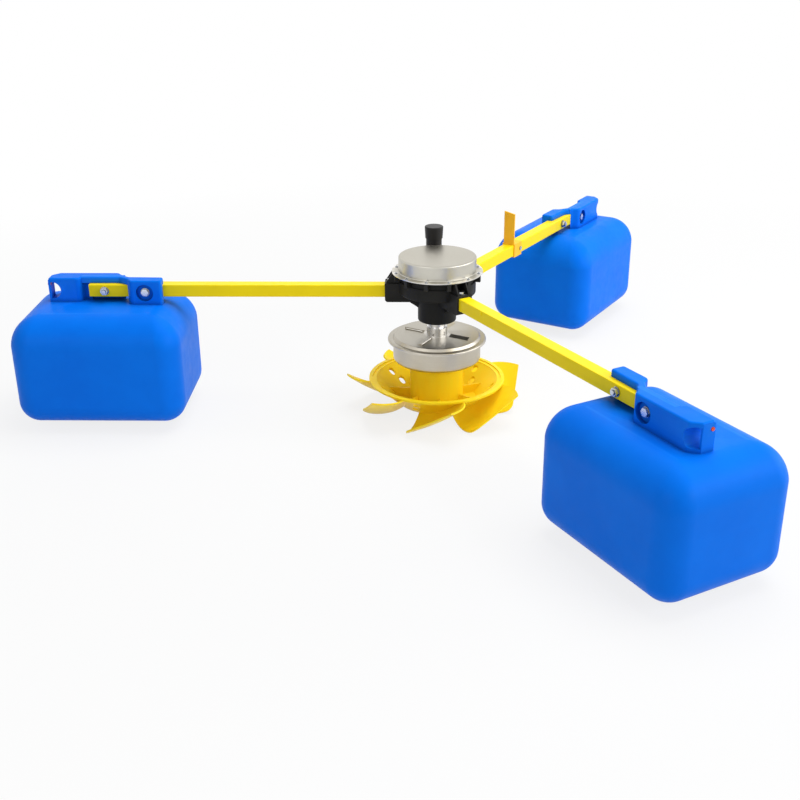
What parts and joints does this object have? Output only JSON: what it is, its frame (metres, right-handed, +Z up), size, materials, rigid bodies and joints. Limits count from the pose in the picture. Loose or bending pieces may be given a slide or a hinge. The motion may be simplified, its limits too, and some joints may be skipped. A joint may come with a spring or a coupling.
{
  "type": "pond aerator",
  "caption": "Floating pond aerator: blue floats on yellow arms carry a sealed upright motor that spins a steel drum and a bladed impeller.",
  "frame": {"origin": "centre of the flat round top of the motor cover, on the impeller's axis", "axes": "+Z up along the impeller's axis, +X to the right, opposite the left arm, +Y away from the front"},
  "size_m": [1.6449, 1.8664, 0.438],
  "materials": {
    "housing_black": "moulded, low sheen",
    "cover_steel": "brushed, satin",
    "gasket_rubber": "matt",
    "fastener_steel": "bright, satin",
    "shield_aluminium": "as cast",
    "lamination_steel": "varnished stack",
    "winding_copper": "varnished",
    "magnet_dark": "plated",
    "bearing_steel": "ground",
    "seal_rubber": "matt",
    "connector_black": "moulded, low sheen",
    "arm_yellow": "satin powder coat",
    "float_blue": "blow-moulded, satin",
    "plug_red": "moulded",
    "clip_orange": "moulded",
    "shaft_steel": "turned, satin",
    "drum_steel": "drawn, satin",
    "impeller_yellow": "moulded, satin"
  },
  "bodies": {
    "frame": {"motor_housing": "housing_black", "motor_cover": "cover_steel", "cover_gasket": "gasket_rubber", "cover_screws": "fastener_steel", "tie_bolts": "fastener_steel", "arm_bolts": "fastener_steel", "arm_nuts": "fastener_steel", "inner_float_bolts": "fastener_steel", "inner_float_nuts": "fastener_steel", "outer_float_bolts": "fastener_steel", "outer_float_nuts": "fastener_steel", "clip_screw": "fastener_steel", "arm_screw": "fastener_steel", "bearing_circlip": "fastener_steel", "end_shield": "shield_aluminium", "stator_core": "lamination_steel", "stator_windings": "winding_copper", "upper_bearing": "bearing_steel", "lower_bearing": "bearing_steel", "shaft_seal": "seal_rubber", "connector_socket": "connector_black", "connector_cap": "connector_black", "arm_left": "arm_yellow", "arm_front": "arm_yellow", "arm_rear": "arm_yellow", "float_left": "float_blue", "float_front": "float_blue", "float_rear": "float_blue", "float_plugs": "plug_red", "cable_clip": "clip_orange"},
    "rotor": {"drive_shaft": "shaft_steel", "rotor_core": "lamination_steel", "rotor_magnets": "magnet_dark", "shaft_sleeve": "shaft_steel", "drum_lid": "drum_steel", "drum_spacer": "shaft_steel", "drum_shell": "drum_steel", "hub_bolts": "fastener_steel", "impeller": "impeller_yellow", "shaft_washer": "fastener_steel", "shaft_nut": "fastener_steel"}
  },
  "joints": [
    {"name": "impeller_spin", "type": "hinge", "parent": "frame", "child": "rotor", "pos_m": [0, 0, -0.3], "axis": [0, 0, 1], "continuous": true}
  ]
}
